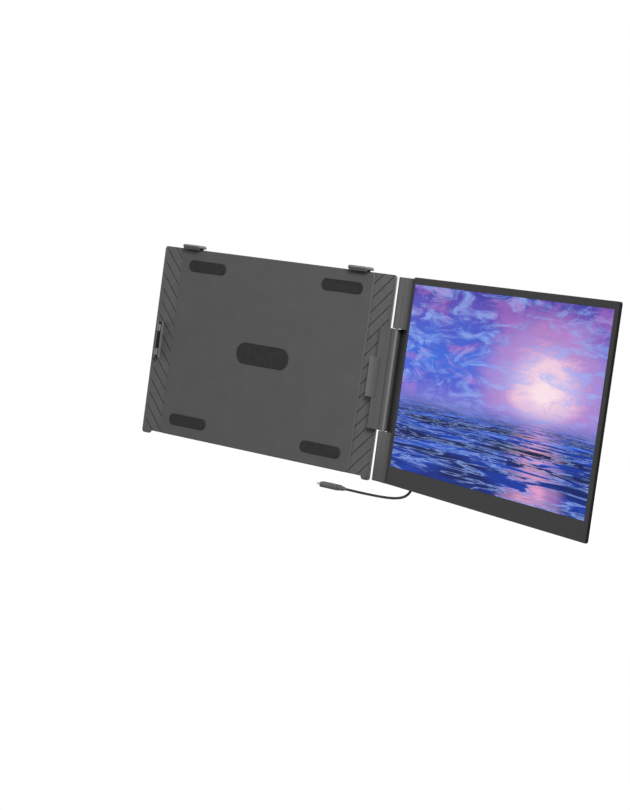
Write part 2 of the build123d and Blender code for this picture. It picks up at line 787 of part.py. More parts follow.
with BuildPart() as front_frame:
    with BuildSketch(screen_facing(frame_back)):
        screen_outline(0)
        with Locations(window_middle):
            Rectangle(window_width, window_height, mode=Mode.SUBTRACT)
    extrude(amount=frame_thickness)
    front_face = front_frame.faces().sort_by_distance(on_screen(screen_right, front_depth - 1, 0))[0]
    chamfer(front_face.outer_wire().edges(), 0.35)
finish(front_frame.part, "front_frame")

with BuildPart() as display_glass:
    with BuildSketch(screen_facing(frame_back)):
        with Locations(window_middle):
            Rectangle(window_width - 2 * seat_gap, window_height - 2 * seat_gap)
    extrude(amount=glass_thickness)
finish(display_glass.part, "display_glass")

with BuildPart() as lcd_panel:
    with BuildSketch(screen_facing(panel_back)):
        with Locations(window_middle):
            Rectangle(window_width + 2 * panel_border, window_height + 2 * panel_border)
    extrude(amount=panel_thickness)
finish(lcd_panel.part, "lcd_panel")

with BuildPart() as backlight:
    with BuildSketch(screen_facing(pocket_floor)):
        with Locations(window_middle):
            Rectangle(window_width + panel_border, window_height + panel_border)
    extrude(amount=pocket_floor - panel_back)
finish(backlight.part, "backlight")

# rear cover: thin rim, tapered back, and a thicker spine along the hinge whose floor runs behind the barrels
standoff_places = [(u, z) for u in (box_left + 12, box_right - 16) for z in (box_bottom + 12, box_top - 14)]
cable_slot = (44.0, 7.0)
cable_slot_middle = ((box_left + box_right) / 2, (box_bottom + box_top) / 2)
spine_screw_inset = 12.0
spine_screw_places = [
    (spine_right - 6, knuckle_bottom_z + spine_screw_inset),
    (spine_right - 6, knuckle_top_z - spine_screw_inset),
]

with BuildPart() as screen_back_cover:
    with BuildSketch(screen_facing(rim_back)):
        screen_outline(0)
    extrude(amount=rim_thickness)
    with BuildSketch(screen_facing(rim_back)):
        screen_outline(0)
    with BuildSketch(screen_facing(back_depth)):
        screen_outline(back_taper)
    loft()
    with BuildSketch(screen_facing(spine_depth)):
        with Locations((spine_middle_u, spine_middle_z)):
            Rectangle(spine_right - spine_left, spine_height)
    extrude(amount=spine_depth - back_depth)
    spine_edge = screen_back_cover.edges().filter_by(Axis.Z)
    chamfer(spine_edge.sort_by_distance(on_screen(spine_right, spine_depth, 0))[0], 3.2)
    with BuildSketch(screen_facing(spine_front)):
        with Locations(((screen_left + spine_left) / 2 - 2, spine_middle_z)):
            Rectangle(screen_left - spine_left + 4, spine_height + 2)
    extrude(amount=spine_front - back_depth, mode=Mode.SUBTRACT)
    with BuildSketch(screen_facing(pocket_floor)):
        with Locations(window_middle):
            Rectangle(*pocket_size)
    extrude(amount=pocket_floor - frame_back, mode=Mode.SUBTRACT)
    with BuildSketch(screen_facing(back_depth)):
        with Locations(cable_slot_middle):
            SlotOverall(*cable_slot)
    extrude(amount=back_wall, mode=Mode.SUBTRACT)
    with BuildSketch(screen_facing(board_front)):
        with Locations(*standoff_places):
            Circle(2.6)
    extrude(amount=board_standoff)
    with Locations(*[screen_from_behind(u, board_front, z) for u, z in standoff_places]):
        Hole(screw_radius + running_gap, depth=1.4)
    with Locations(*[screen_from_behind(u, spine_depth, z) for u, z in spine_screw_places]):
        CounterBoreHole(screw_radius + running_gap, head_bore, head_depth, depth=4.2)
finish(screen_back_cover.part, "screen_back_cover")

# ---------------------------------------------------------------- electronics housing

inner_top = box_top - box_wall
inner_bottom = box_bottom + box_wall
roof_depth = box_depth - box_wall


def box_sketch(left, right, bottom, top):
    """Rectangle given by its four sides."""
    with Locations(((left + right) / 2, (bottom + top) / 2)):
        Rectangle(right - left, top - bottom)


speaker_z = box_top - speaker_top_inset
speaker_places = [
    (box_left + speaker_side_insets[0], speaker_z),
    (box_right - speaker_side_insets[1], speaker_z),
]
grille_slot = (1.4, 10.0)
grille_pitch = 3.2
grille_count = 7

with BuildPart() as electronics_cover:
    with BuildSketch(screen_facing(back_depth)):
        box_sketch(box_left, box_right, box_bottom, box_top)
    with BuildSketch(screen_facing(box_depth)):
        box_sketch(box_left + box_taper, box_right - box_taper, box_bottom, box_top)
    loft()
    with BuildSketch(screen_facing(back_depth)):
        box_sketch(box_left + box_wall, box_right - box_wall, inner_bottom, inner_top)
    with BuildSketch(screen_facing(roof_depth)):
        box_sketch(box_left + box_taper + 0.4, box_right - box_taper - 0.4, inner_bottom, inner_top)
    loft(mode=Mode.SUBTRACT)
    with BuildSketch(screen_section(box_bottom)):
        with Locations(*[(u, port_depth) for u in port_places]):
            SlotOverall(port_size[0] + 2 * port_gap, port_size[1] + 2 * port_gap)
        with Locations((video_port_place, port_depth)):
            Rectangle(video_port_size[0] + 2 * port_gap, video_port_size[1] + 2 * port_gap)
    extrude(amount=box_wall, mode=Mode.SUBTRACT)
    with BuildSketch(screen_section(inner_top)):
        with Locations(*[(u, port_depth) for u in button_places]):
            SlotOverall(button_size[0] + 0.4, button_size[1] + 0.4)
    extrude(amount=box_wall, mode=Mode.SUBTRACT)
    with BuildSketch(screen_facing(box_depth)):
        for u, z in speaker_places:
            with Locations((u, z)):
                with GridLocations(grille_pitch, 1, grille_count, 1):
                    Rectangle(*grille_slot)
    extrude(amount=box_wall, mode=Mode.SUBTRACT)
    with Locations(*[screen_from_behind(u, box_depth, z) for u, z in standoff_places]):
        CounterBoreHole(screw_bore, head_bore, 0.9, depth=box_wall)
finish(electronics_cover.part, "electronics_cover")

board_bottom = inner_bottom + 0.8
board_top = inner_top - 6.0

with BuildPart() as driver_board:
    with BuildSketch(screen_facing(board_back)):
        box_sketch(box_left + 5, box_right - 6, board_bottom, board_top)
        with Locations(*standoff_places):
            Circle(screw_radius + screw_gap, mode=Mode.SUBTRACT)
    extrude(amount=board_thickness)
    with BuildSketch(screen_facing(board_back + 1.2)):
        for from_left, from_bottom, chip_side in chips:
            with Locations((box_left + from_left, box_bottom + from_bottom)):
                Rectangle(chip_side, chip_side)
    extrude(amount=1.2)
finish(driver_board.part, "driver_board")

# long screws go through the cover and the board into the standoffs
board_screw_head = box_depth - 0.9
board_screw_length = board_screw_head - board_front + 1.2

with BuildPart() as screen_screws:
    with Locations(*[screen_from_behind(u, board_screw_head, z) for u, z in standoff_places]):
        add(screw(length=board_screw_length))
    with Locations(*[screen_from_behind(u, spine_depth - head_depth, z) for u, z in spine_screw_places]):
        add(screw(length=3.0))
finish(screen_screws.part, "screen_screws")

port_wall = 0.3
tongue_size = (6.6, 0.7)

for port_name, port_u in zip(("usb_c_port", "spare_usb_c_port"), port_places):
    with BuildPart() as usb_port:
        with BuildSketch(screen_section(box_bottom + 0.2)):
            with Locations((port_u, port_depth)):
                SlotOverall(*port_size)
                SlotOverall(port_size[0] - 2 * port_wall, port_size[1] - 2 * port_wall, mode=Mode.SUBTRACT)
        extrude(amount=port_length)
        with BuildSketch(screen_section(box_bottom + 0.2 + port_length)):
            with Locations((port_u, port_depth)):
                SlotOverall(*port_size)
        extrude(amount=0.6)
        with BuildSketch(screen_section(box_bottom + 1.6)):
            with Locations((port_u, port_depth)):
                Rectangle(*tongue_size)
        extrude(amount=port_length - 1.2)
    finish(usb_port.part, port_name)

with BuildPart() as video_port:
    with BuildSketch(screen_section(box_bottom + 0.2)):
        with Locations((video_port_place, port_depth)):
            Rectangle(*video_port_size)
            Rectangle(video_port_size[0] - 0.8, video_port_size[1] - 0.8, mode=Mode.SUBTRACT)
            Rectangle(video_port_size[0] - 3.0, 0.8)
    extrude(amount=port_length)
    with BuildSketch(screen_section(box_bottom + 0.2 + port_length)):
        with Locations((video_port_place, port_depth)):
            Rectangle(*video_port_size)
    extrude(amount=0.6)
finish(video_port.part, "mini_hdmi_port")

with BuildPart() as speakers:
    with BuildSketch(screen_facing(roof_depth)):
        with Locations(*speaker_places):
            RectangleRounded(*speaker_size, 2.0)
    extrude(amount=speaker_thickness)
finish(speakers.part, "speakers")

# buttons: a cap through the top wall, a flange behind it, and a tactile switch on the board
flange_thickness = 1.4
flange_top = inner_top - 0.1
flange_bottom = flange_top - flange_thickness
switch_top = flange_bottom - button_travel - 0.1

for button_name, button_u in zip(("power_button", "minus_button", "plus_button"), button_places):
    with BuildPart() as button:
        with BuildSketch(screen_section(flange_bottom)):
            with Locations((button_u, port_depth)):
                RectangleRounded(button_size[0] + 1.6, button_size[1] + 0.8, 0.6)
        extrude(amount=flange_thickness)
        with BuildSketch(screen_section(flange_top)):
            with Locations((button_u, port_depth)):
                SlotOverall(*button_size)
        extrude(amount=box_top + button_proud - flange_top)
    finish(button.part, button_name)

with BuildPart() as button_switches:
    with BuildSketch(screen_facing(board_back + 3.0)):
        for button_u in button_places:
            box_sketch(button_u - 3, button_u + 3, board_top - 3, switch_top)
    extrude(amount=3.0)
finish(button_switches.part, "button_switches")

# ---------------------------------------------------------------- USB-C lead


def plug_body(size, length, relief, collar=0.0):
    """Moulded plug pointing along -Z: metal shell at the far end, its tail at the origin."""
    grip_start = relief + collar
    with BuildPart(mode=Mode.PRIVATE) as plug:
        with BuildSketch(Plane.XY):
            Circle(cord_radius)
        with BuildSketch(Plane.XY.offset(-relief)):
            Circle(cord_radius + 0.9)
        loft()
        if collar:
            with BuildSketch(Plane.XY.offset(-relief)):
                SlotOverall(size[0] * 0.62, size[1] * 0.78)
            extrude(amount=-collar)
        with BuildSketch(Plane.XY.offset(-grip_start)):
            RectangleRounded(size[0], size[1], size[1] * 0.42)
        extrude(amount=-length)
        with BuildSketch(Plane.XY.offset(-grip_start - length)):
            SlotOverall(*plug_shell_size)
            offset(amount=-plug_shell_wall, mode=Mode.SUBTRACT)
        extrude(amount=-plug_shell_length)
    return plug.part


# plug seated in the screen's port, its cord leaving downwards
plug_tail_z = box_bottom - plug_length - relief_length
plug_tail = on_screen(port_places[0], port_depth, plug_tail_z)

with BuildPart() as screen_plug:
    with Locations(Plane(origin=plug_tail, x_dir=along_screen, z_dir=(0, 0, -1))):
        add(plug_body(plug_size, plug_length, relief_length))
finish(screen_plug.part, "screen_plug")

# cord: straight down out of the plug, then in one loose bow over the table
cord_offsets = (
    (0, 0, 0),
    (0, 0, -cord_first_run),
    (-2.2, -0.3, -17.0),
    (-8.6, -1.1, -23.0),
    (-19.0, -3.0, -26.3),
    (-32.0, -5.6, -27.5),
    (-48.0, -9.0, -27.6),
    (-64.0, -12.0, -27.4),
    (-75.5, -14.0, -27.0),
    (-75.5 - cord_last_run, -14.0, -27.0),
)
cord_route = [tuple(plug_tail + Vector(*offset)) for offset in cord_offsets]

# plug for the laptop's port, lying on the table and pointing to the laptop
with BuildPart() as laptop_plug:
    with Locations(Plane(origin=cord_route[-1], x_dir=(0, 1, 0), z_dir=(1, 0, 0))):
        add(plug_body(laptop_plug_size, laptop_plug_length, laptop_relief_length, laptop_collar_length))
finish(laptop_plug.part, "laptop_plug")


def bend_radii(points):
    """Radius at each inner point: 0.45 of the shorter run over the tangent of half the turn."""
    radii = []
    for before, here, after in zip(points, points[1:], points[2:]):
        run_in = Vector(*here) - Vector(*before)
        run_out = Vector(*after) - Vector(*here)
        half_turn = radians(run_in.get_angle(run_out)) / 2
        radii.append(0.45 * min(run_in.length, run_out.length) / tan(half_turn))
    return radii


cord_radii = bend_radii(cord_route)

with BuildPart() as usb_cord:
    with BuildLine() as cord_path:
        FilletPolyline(*cord_route, radius=cord_radii)
    with BuildSketch(Plane(origin=plug_tail, z_dir=Vector(*cord_route[1]) - Vector(*cord_route[0]))):
        Circle(cord_radius)
    sweep(path=cord_path.line)
finish(usb_cord.part, "usb_cord")

cord_length = sum(edge.length for edge in cord_path.edges())
cord_area = pi * cord_radius**2
print("cord length", round(cord_length, 1))
print("volume ratio", round(usb_cord.part.volume / (cord_length * cord_area), 4))
print("cord radii", [round(r, 1) for r in cord_radii])
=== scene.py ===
import math

import bpy
import numpy as np
from mathutils import Matrix, Vector


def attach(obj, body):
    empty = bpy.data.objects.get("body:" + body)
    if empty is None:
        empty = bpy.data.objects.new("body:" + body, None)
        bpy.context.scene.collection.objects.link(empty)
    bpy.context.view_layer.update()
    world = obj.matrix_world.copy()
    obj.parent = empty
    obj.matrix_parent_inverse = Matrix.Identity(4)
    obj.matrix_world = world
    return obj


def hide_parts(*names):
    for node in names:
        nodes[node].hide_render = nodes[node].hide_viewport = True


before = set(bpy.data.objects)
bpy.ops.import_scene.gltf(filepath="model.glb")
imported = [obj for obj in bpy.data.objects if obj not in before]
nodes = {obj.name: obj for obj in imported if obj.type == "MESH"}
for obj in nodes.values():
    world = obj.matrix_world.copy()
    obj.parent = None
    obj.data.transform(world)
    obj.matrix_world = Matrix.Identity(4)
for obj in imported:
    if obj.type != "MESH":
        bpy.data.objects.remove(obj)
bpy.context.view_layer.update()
scene = bpy.context.scene
mm = 0.001
print("frame loaded:", len(nodes), "nodes")

# the bracket's directions, and the screen's own, worked out as the frame was built
hinge = {"x": 211.5 * mm, "y": -9.75 * mm, "turn": math.radians(20.1)}
cosTurn, sinTurn = math.cos(hinge["turn"]), math.sin(hinge["turn"])
acrossBracket = np.array([1.0, 0.0, 0.0])
behindBracket = np.array([0.0, 1.0, 0.0])
upward = np.array([0.0, 0.0, 1.0])
alongScreen = np.array([cosTurn, -sinTurn, 0.0])
toUser = np.array([-sinTurn, -cosTurn, 0.0])


def onScreen(u, depth, z):
    # point at u along the screen from the hinge axis, depth behind it, height z, all in millimetres
    base = np.array([hinge["x"], hinge["y"], 0.0])
    return base + mm * (u * alongScreen - depth * toUser + z * upward)


def toLinear(hexColour):
    # sRGB hex to linear: v/12.92 below 0.04045, else ((v+0.055)/1.055)^2.4
    parts = [int(hexColour[i:i + 2], 16) / 255 for i in (1, 3, 5)]
    return tuple(v / 12.92 if v <= 0.04045 else ((v + 0.055) / 1.055) ** 2.4 for v in parts) + (1.0,)


def setStops(ramp, stops):
    # each stop is a place and a hex colour or a grey level
    while len(ramp.elements) < len(stops):
        ramp.elements.new(0.5)
    for element, (place, colour) in zip(ramp.elements, stops):
        element.position = place
        element.color = toLinear(colour) if isinstance(colour, str) else (colour, colour, colour, 1.0)


def setNode(tree, node, settings):
    # settings: a ramp's stops or curve, a property, or an input's name or number, to its value, where an
    # input takes a number, a hex colour, an output to link, or a node whose first live output is linked
    for key, value in settings.items():
        if key == "stops":
            setStops(node.color_ramp, value)
        elif key == "curve":
            node.color_ramp.interpolation = value
        elif isinstance(key, str) and hasattr(node, key):
            setattr(node, key, value)
        elif isinstance(value, bpy.types.Node):
            tree.links.new(next(output for output in value.outputs if output.enabled), node.inputs[key])
        elif isinstance(value, bpy.types.NodeSocket):
            tree.links.new(value, node.inputs[key])
        else:
            node.inputs[key].default_value = toLinear(value) if isinstance(value, str) else value
    return node


def addNode(tree, kind, settings):
    return setNode(tree, tree.nodes.new("ShaderNode" + kind), settings)


def startMaterial(name):
    material = bpy.data.materials.new(name)
    material.use_nodes = True
    tree = material.node_tree
    return material, tree, tree.nodes["Principled BSDF"], addNode(tree, "TexCoord", {}).outputs["Object"]


def dress(material, *names):
    for name in names:
        node = nodes[name]
        node.data.materials.clear()
        node.data.materials.append(material)


# what the moulded plastics share: the noise of grain and clouds, how far the shine strays, the relief's
# depth in millimetres, painted shade's colour in a crease, and gloss, what a coarse grain leaves of a
# bare skin's 0.5
mould = {
    "grain": {"Detail": 3.0, "Roughness": 0.6}, "cloud": {"Detail": 4.0, "Roughness": 0.55},
    "fleckStops": [(0.3, 0.82), (0.7, 1.0)], "shineSpread": 0.05, "reliefDepth": 0.05,
    "drawnOut": 0.015, "streakDetail": 3.0, "streakStops": [(0.35, 0.76), (0.6, 1.0)],
    # the colour of painted shade that the dark bands fade to, unless a band gives its own
    "ior": 1.5, "gloss": 0.22, "dustAndShade": "#141414",
}


def mouldedPlastic(name, look):
    # injection-moulded plastic: an etched grain from the mould, slightly uneven shine and tone
    material, tree, shader, where = startMaterial(name)
    grain, cloud = (
        addNode(tree, "TexNoise", dict(mould[part], Scale=1 / (look[part] * mm), Vector=where))
        for part in ("grain", "cloud"))
    tone = addNode(tree, "Mix", {"data_type": "RGBA", 0: cloud, 6: look["dark"], 7: look["light"]})
    flecks = addNode(tree, "ValToRGB", {"Fac": grain, "stops": mould["fleckStops"]})
    colour = addNode(tree, "Mix", {
        "data_type": "RGBA", "blend_type": "MULTIPLY", 0: look["fleck"], 6: tone, 7: flecks})
    shine = addNode(tree, "MapRange", {
        "To Min": look["shine"] - mould["shineSpread"], "To Max": look["shine"] + mould["shineSpread"],
        "Value": cloud})
    relief = addNode(tree, "Bump", {
        "Strength": look["relief"], "Distance": mould["reliefDepth"] * mm, "Height": grain})
    if "streaks" in look:
        # upright draw marks that polishing leaves in the mould
        drawn = addNode(tree, "Mapping", {"Scale": (1, 1, mould["drawnOut"]), "Vector": where})
        marks = addNode(tree, "TexNoise", {
            "Scale": 1 / (look["streaks"] * mm), "Detail": mould["streakDetail"], "Vector": drawn})
        shades = addNode(tree, "ValToRGB", {"Fac": marks, "stops": mould["streakStops"]})
        colour = addNode(tree, "Mix", {
            "data_type": "RGBA", "blend_type": "MULTIPLY", 0: 1.0, 6: colour, 7: shades})
    if "lattice" in look:
        colour = latticeOver(tree, where, colour, look["lattice"])
    gloss = look.get("gloss", mould["gloss"])
    # painted shade in bands, and the black rim, laid over the colour
    for darkBand in look.get("darkBands", []):
        colour, amount = darkBandOver(tree, where, colour, darkBand)
        if "matte" in darkBand:
            gloss = addNode(tree, "MapRange", {"To Min": gloss, "To Max": darkBand["matte"], "Value": amount})
    setNode(tree, shader, {"Base Color": colour, "Roughness": shine, "Normal": relief,
                           "Specular IOR Level": gloss, "IOR": mould["ior"]})
    return material


def latticeOver(tree, where, colour, lattice):
    # two sets of slanted marks, each where a count comes near a whole number: faint scored lines by
    # (|x| + z) / pitch, and painted shade in the moulded grooves by (z - |x| + offset) / pitch, the
    # offset by side
    split = addNode(tree, "SeparateXYZ", {0: where})
    across = addNode(tree, "Math", {"operation": "ABSOLUTE", 0: split.outputs["X"]})
    inside = addNode(tree, "Math", {"operation": "LESS_THAN", 0: across, 1: lattice["until"] * mm})
    rising = addNode(tree, "Math", {"operation": "ADD", 0: across, 1: split.outputs["Z"]})
    falling = addNode(tree, "Math", {"operation": "SUBTRACT", 0: split.outputs["Z"], 1: across})
    rightSide = addNode(tree, "Math", {"operation": "GREATER_THAN", 0: split.outputs["X"], 1: 0.0})
    offset = addNode(tree, "Math", {
        "operation": "MULTIPLY_ADD", 0: rightSide,
        1: (lattice["rightOffset"] - lattice["leftOffset"]) / lattice["pitch"],
        2: lattice["leftOffset"] / lattice["pitch"]})
    for level, shift, mark in ((rising, lattice["phase"], lattice["scored"]),
                               (falling, offset, lattice["grooves"])):
        count = addNode(tree, "Math", {
            "operation": "MULTIPLY_ADD", 0: level, 1: 1 / (lattice["pitch"] * mm), 2: shift})
        away = addNode(tree, "Math", {"operation": "PINGPONG", 0: count, 1: 0.5})
        shade = addNode(tree, "MapRange", {
            "From Min": mark["full"] / lattice["pitch"], "From Max": mark["gone"] / lattice["pitch"],
            "To Min": mark["deep"], "To Max": 0.0, "Value": away})
        amount = addNode(tree, "Math", {"operation": "MULTIPLY", 0: shade, 1: inside})
        colour = addNode(tree, "Mix", {"data_type": "RGBA", 0: amount, 6: colour, 7: mark["colour"]})
    return colour


def darkBandOver(tree, where, colour, darkBand):
    # a colour laid along one direction, by the millimetres from the hinge axis: painted shade towards
    # creases, edges and lower ends, and a black rim where a colour is given; with a front given, only on
    # what lies less deep behind the axis than that
    def distanceAlong(direction):
        axis = float(direction[0] * hinge["x"] + direction[1] * hinge["y"]) / mm
        along = addNode(tree, "VectorMath", {
            "operation": "DOT_PRODUCT", 0: where, 1: tuple(direction / mm)})
        return addNode(tree, "Math", {"operation": "SUBTRACT", 0: along, 1: axis})

    amount = addNode(tree, "MapRange", {
        "interpolation_type": "SMOOTHSTEP", "Value": distanceAlong(darkBand["along"]),
        "From Min": darkBand["from"], "From Max": darkBand["to"], "To Min": 0.0, "To Max": darkBand["deep"]})
    if "front" in darkBand:
        inFront = addNode(tree, "Math", {
            "operation": "LESS_THAN", 0: distanceAlong(-toUser), 1: darkBand["front"]})
        amount = addNode(tree, "Math", {"operation": "MULTIPLY", 0: amount, 1: inFront})
    shaded = addNode(tree, "Mix", {
        "data_type": "RGBA", 0: amount, 6: colour, 7: darkBand.get("colour", mould["dustAndShade"])})
    return shaded, amount


# grain, cloud, streaks and the places in a lattice or a dark band are millimetres, and deep is a share of
# one.
# Charcoal ABS with a spark-eroded grain: the eye sees a dry, dark grey skin with a soft wide shine
bracketLook = {"dark": "#393939", "light": "#434343", "grain": 0.55, "cloud": 26.0, "fleck": 0.6,
               "shine": 0.56, "relief": 0.35}
# the hooks: a lighter copy of the bracket's ABS, painted light on their lit tops, with painted shade down
# the lip's front
hookLook = dict(bracketLook, dark="#4e4e4e", light="#585858",
                darkBands=[{"along": -upward, "from": -122.8, "to": -121.4, "deep": 0.55}])
# the same ABS from a finer, polished mould on the hinge's pieces
hingeLook = {"dark": "#2d2d2d", "light": "#353535", "grain": 0.4, "cloud": 30.0, "fleck": 0.35,
             "shine": 0.44, "gloss": 0.6, "relief": 0.22, "streaks": 2.2}
# the two knuckles, a shade lighter than the housing between them, with painted shade on the barrel's left
# side, growing towards the crease by the bezel, deep in that crease, and towards the lower knuckle's
# bottom
knuckleLook = {"dark": "#454545", "light": "#4d4d4d", "grain": 0.4, "cloud": 30.0, "fleck": 0.35,
               "shine": 0.41, "gloss": 0.26, "relief": 0.22, "streaks": 2.2,
               "darkBands": [{"along": alongScreen, "from": 3.0, "to": -3.0, "deep": 0.4},
                         {"along": alongScreen, "from": 14.0, "to": 21.0, "deep": 0.28},
                         {"along": alongScreen, "from": 22.0, "to": 24.2, "deep": 0.85},
                         {"along": -upward, "from": 60.0, "to": 116.0, "deep": 0.45}]}
# the clip over the lid's right edge, with painted shade darkening it towards the housing
clipLook = {"dark": "#4d4d4d", "light": "#555555", "grain": 0.4, "cloud": 30.0, "fleck": 0.35,
            "shine": 0.44, "relief": 0.22,
            "darkBands": [{"along": acrossBracket, "from": -37.5, "to": -20.0, "deep": 0.5}]}
# the left clip with its two fingers, a lighter copy of the clip's ABS, painted light on the fingers
fingerLook = dict(clipLook, dark="#535353", light="#5b5b5b", darkBands=[])
# the arms' plates, with a lattice scored into the visible band and painted shade in the moulded grooves
armLook = {"dark": "#3b3b3b", "light": "#4b4b4b", "grain": 0.45, "cloud": 14.0, "fleck": 0.5,
           "shine": 0.5, "relief": 0.3,
           "lattice": {"pitch": 16.9, "phase": 0.73, "until": 187.7, "leftOffset": 72.35,
                       "rightOffset": 70.05,
                       "scored": {"full": 0.25, "gone": 0.55, "deep": 0.4, "colour": "#2a2a2a"},
                       "grooves": {"full": 0.55, "gone": 1.1, "deep": 0.9, "colour": "#101010"}}}
# satin ABS of the bezel: smoother and darker, with an even, faint shine and a black outer edge
blackRim = {"along": alongScreen, "from": 407.0, "to": 407.8, "deep": 1.0, "colour": "#040404",
            "matte": 0.12}
bezelLook = {"dark": "#171717", "light": "#1d1d1d", "grain": 0.3, "cloud": 60.0, "fleck": 0.25,
             "shine": 0.42, "relief": 0.12, "darkBands": [blackRim]}
# the box on the screen's back, a coarse matte grain
coverLook = {"dark": "#333333", "light": "#3d3d3d", "grain": 0.6, "cloud": 40.0, "fleck": 0.6,
             "shine": 0.58, "relief": 0.4}
# the same grain on the back itself, with painted shade in the notch that the housing turns in
notchShade = {"along": alongScreen, "from": 15.0, "to": 2.0, "deep": 0.85, "front": 6.5}
screenBackLook = dict(coverLook, darkBands=[notchShade, blackRim])
# polished key caps
buttonLook = {"dark": "#222224", "light": "#29292b", "grain": 0.3, "cloud": 8.0, "fleck": 0.2,
              "shine": 0.28, "relief": 0.05}
# black polypropylene of the speaker boxes
speakerLook = {"dark": "#161617", "light": "#1e1e1f", "grain": 0.5, "cloud": 9.0, "fleck": 0.5,
               "shine": 0.6, "relief": 0.3}

for plasticName, plasticLook, plasticPieces in (
        ("mouldedAbsCharcoal", bracketLook, ("bracket_front_shell", "bracket_rear_cover", "kickstand")),
        ("mouldedAbsHook", hookLook, ("left_hook", "right_hook")),
        ("mouldedAbsHinge", hingeLook, ("hinge_housing", "hinge_cover")),
        ("mouldedAbsKnuckle", knuckleLook, ("upper_knuckle", "lower_knuckle")),
        ("mouldedAbsClip", clipLook, ("right_clip",)),
        ("mouldedAbsFingers", fingerLook, ("left_clip",)),
        ("mouldedAbsLattice", armLook, ("left_arm_plate", "right_arm_plate")),
        ("satinAbsBezel", bezelLook, ("front_frame",)),
        ("mouldedAbsCover", coverLook, ("electronics_cover",)),
        ("mouldedAbsScreenBack", screenBackLook, ("screen_back_cover",)),
        ("polishedAbsKeys", buttonLook, ("power_button", "minus_button", "plus_button")),
        ("polypropyleneBox", speakerLook, ("speakers",))):
    dress(mouldedPlastic(plasticName, plasticLook), *plasticPieces)


# what the rubbers share, sizes in millimetres
rubber = {
    "grainDetail": 2.0, "dustAndShade": 9.0, "dustDetail": 5.0, "dustRough": 0.65, "darkAt": 0.35,
    "lightAt": 0.75, "relief": 0.3, "reliefDepth": 0.04, "ior": 1.43, "gloss": 0.22,
}
# the shell of a plug, nickel on steel
nickelShell = {"colour": "#b4b5b6", "shine": 0.24}


def mouldedRubber(name, look):
    # silicone or TPE: nearly black, a blurred shine with dust caught in the grain
    material, tree, shader, where = startMaterial(name)
    grain = addNode(tree, "TexNoise", {
        "Scale": 1 / (look["grain"] * mm), "Detail": rubber["grainDetail"], "Vector": where})
    dustAndShade = addNode(tree, "TexNoise", {
        "Scale": 1 / (rubber["dustAndShade"] * mm), "Detail": rubber["dustDetail"],
        "Roughness": rubber["dustRough"], "Vector": where})
    colour = addNode(tree, "ValToRGB", {
        "Fac": dustAndShade, "stops": [(rubber["darkAt"], look["dark"]), (rubber["lightAt"], look["light"])]})
    relief = addNode(tree, "Bump", {
        "Strength": rubber["relief"], "Distance": rubber["reliefDepth"] * mm, "Height": grain})
    setNode(tree, shader, {"Base Color": colour, "Normal": relief, "Roughness": look["shine"],
                           "IOR": rubber["ior"], "Specular IOR Level": rubber["gloss"]})
    return material


def plugSkin(name, look, tip):
    # overmoulded rubber that gives way to a nickel shell past a plane across the plug
    material = mouldedRubber(name, look)
    tree = material.node_tree
    shader = tree.nodes["Principled BSDF"]
    where = addNode(tree, "TexCoord", {}).outputs["Object"]
    split = addNode(tree, "SeparateXYZ", {0: where})
    bare = addNode(tree, "Math", {
        "operation": tip["side"], 0: split.outputs[tip["axis"]], 1: tip["at"] * mm})
    rubberColour = shader.inputs["Base Color"].links[0].from_socket
    colour = addNode(tree, "Mix", {
        "data_type": "RGBA", 0: bare, 6: rubberColour, 7: nickelShell["colour"]})
    shine = addNode(tree, "MapRange", {
        "To Min": look["shine"], "To Max": nickelShell["shine"], "Value": bare})
    setNode(tree, shader, {"Base Color": colour, "Metallic": bare, "Roughness": shine})
    return material


# dull silicone of the pads, the clips' foam darkened to nearly black as painted shade, satin TPE of the
# lead and its lighter plugs
padLook = {"dark": "#161617", "light": "#202021", "grain": 0.5, "shine": 0.72}
clipPadLook = {"dark": "#060606", "light": "#0b0b0b", "grain": 0.5, "shine": 0.85}
cordLook = {"dark": "#1c1c1d", "light": "#242425", "grain": 0.35, "shine": 0.45}
plugLook = {"dark": "#3f3f3f", "light": "#494949", "grain": 0.35, "shine": 0.40}
# where each plug's shell starts, in millimetres
laptopTip = {"axis": "X", "side": "LESS_THAN", "at": 159.4}
screenTip = {"axis": "Z", "side": "GREATER_THAN", "at": -78.4}
cordRubber = mouldedRubber("extrudedTpe", cordLook)
dress(mouldedRubber("mouldedSilicone", padLook),
      "lid_pads", "kickstand_foot", "left_hook_pad", "right_hook_pad")
dress(mouldedRubber("clipPadPaintedShade", clipPadLook), "left_clip_pad", "right_clip_pad")
dress(plugSkin("overmouldedTpeLaptop", plugLook, laptopTip), "laptop_plug")
dress(plugSkin("overmouldedTpeScreen", plugLook, screenTip), "screen_plug")


# what the steels share, the relief's depth in millimetres
metal = {"streakDetail": 3.0, "darkAt": 0.3, "lightAt": 0.7, "shineSpread": 0.08, "relief": 0.15,
         "reliefDepth": 0.02}


def workedMetal(name, look):
    # steel as rolled, turned or plated: fine streaks along one axis break up a bright, narrow shine
    material, tree, shader, where = startMaterial(name)
    stretched = addNode(tree, "Mapping", {"Scale": look["stretch"], "Vector": where})
    streak = addNode(tree, "TexNoise", {
        "Scale": 1 / (look["streak"] * mm), "Detail": metal["streakDetail"], "Vector": stretched})
    colour = addNode(tree, "ValToRGB", {
        "Fac": streak, "stops": [(metal["darkAt"], look["dark"]), (metal["lightAt"], look["light"])]})
    shine = addNode(tree, "MapRange", {
        "To Min": look["shine"] - metal["shineSpread"], "To Max": look["shine"] + metal["shineSpread"],
        "Value": streak})
    relief = addNode(tree, "Bump", {
        "Strength": metal["relief"], "Distance": metal["reliefDepth"] * mm, "Height": streak})
    setNode(tree, shader, {"Base Color": colour, "Roughness": shine, "Normal": relief, "Metallic": 1.0})
    return material


